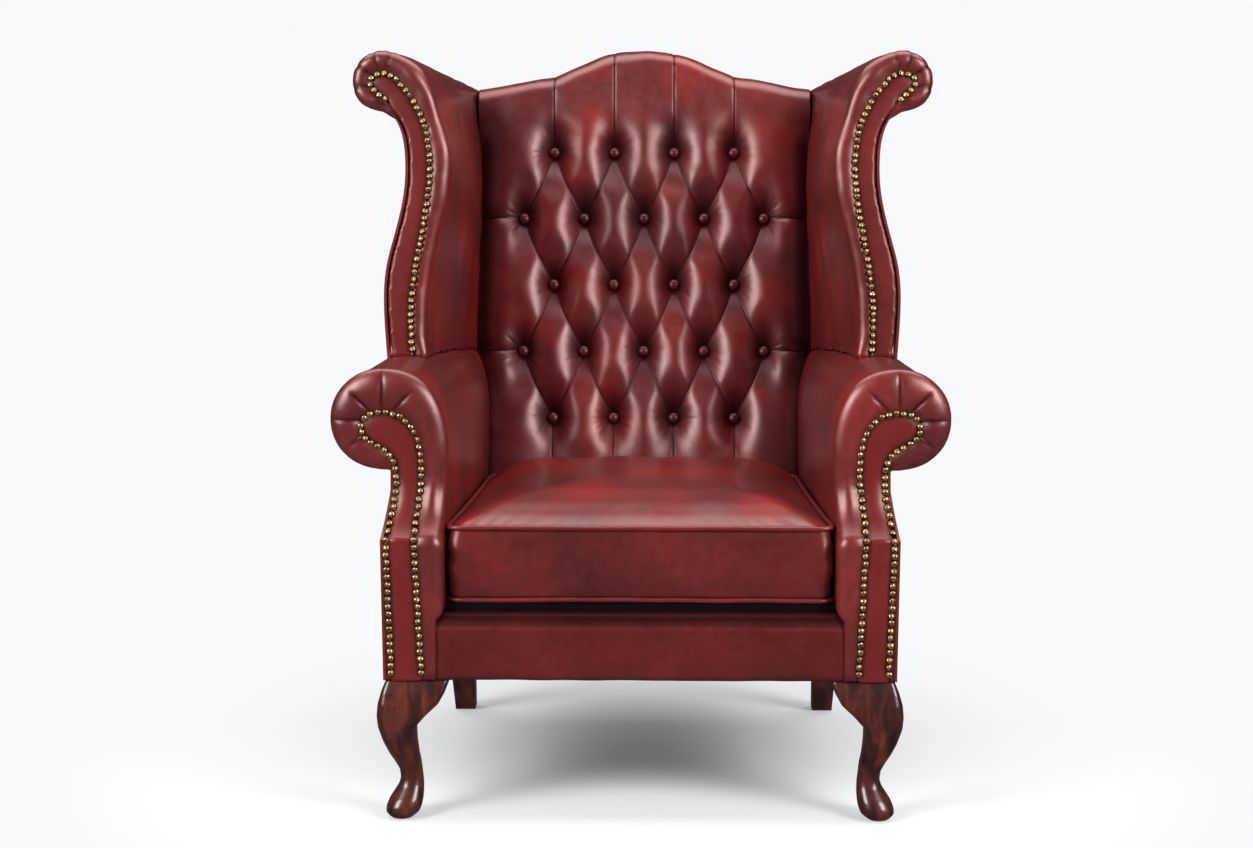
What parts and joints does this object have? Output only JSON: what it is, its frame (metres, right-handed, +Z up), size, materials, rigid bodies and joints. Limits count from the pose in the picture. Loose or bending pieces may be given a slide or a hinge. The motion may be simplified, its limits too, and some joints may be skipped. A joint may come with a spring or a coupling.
{
  "type": "wing chair",
  "caption": "High-back wing chair with a deep-buttoned back, scroll arms, nailed facings, a loose boxed seat cushion and cabriole front legs.",
  "frame": {"origin": "on the floor under the middle of the chair's box", "axes": "+Z up, the chair faces -Y, +X to the right seen from the front"},
  "size_m": [0.868, 0.8093, 1.1022],
  "materials": {
    "leather": "semi-gloss, rubbed",
    "mahogany": "polished",
    "beech": "sawn",
    "brass": "antique",
    "steel": "plain",
    "webbing": "woven jute",
    "deck_cloth": "woven",
    "foam": "open cell",
    "zip_tape": "woven tape"
  },
  "bodies": {
    "chair": {"arm_facing_left": "leather", "arm_facing_right": "leather", "arm_nails_left": "brass", "arm_nails_right": "brass", "arm_pad_left": "leather", "arm_pad_right": "leather", "arm_post_left": "beech", "arm_post_right": "beech", "arm_rail_left": "beech", "arm_rail_right": "beech", "back_buttons": "leather", "back_post_left": "beech", "back_post_right": "beech", "back_rail": "beech", "back_tack_rail": "beech", "back_webbing": "webbing", "corner_blocks": "beech", "crest_rail": "beech", "dust_cover": "deck_cloth", "foot_glides": "steel", "front_leg_left": "mahogany", "front_leg_right": "mahogany", "front_rail": "beech", "inside_back": "leather", "leg_bolts": "steel", "outside_arm_left": "leather", "outside_arm_right": "leather", "outside_back": "leather", "outside_wing_left": "leather", "outside_wing_right": "leather", "rail_cover": "leather", "rear_leg_left": "mahogany", "rear_leg_right": "mahogany", "seat_deck": "deck_cloth", "seat_springs": "steel", "side_rail_left": "beech", "side_rail_right": "beech", "spring_clips": "steel", "wing_facing_left": "leather", "wing_facing_right": "leather", "wing_nails_left": "brass", "wing_nails_right": "brass", "wing_pad_left": "leather", "wing_pad_right": "leather", "wing_post_left": "beech", "wing_post_right": "beech", "wing_rail_left": "beech", "wing_rail_right": "beech"},
    "cushion": {"seat_cushion_cover": "leather", "cushion_foam": "foam", "cushion_piping_top": "leather", "cushion_piping_bottom": "leather", "cushion_zip": "zip_tape"},
    "zip_slider": {"zip_slider": "brass"}
  },
  "joints": [
    {"name": "cushion_lift", "type": "slide", "parent": "chair", "child": "cushion", "axis": [0, 0, 1], "range_m": [0, 0.8]},
    {"name": "zip_slide", "type": "slide", "parent": "cushion", "child": "zip_slider", "axis": [1, 0, 0], "range_m": [-0.38, 0]}
  ]
}
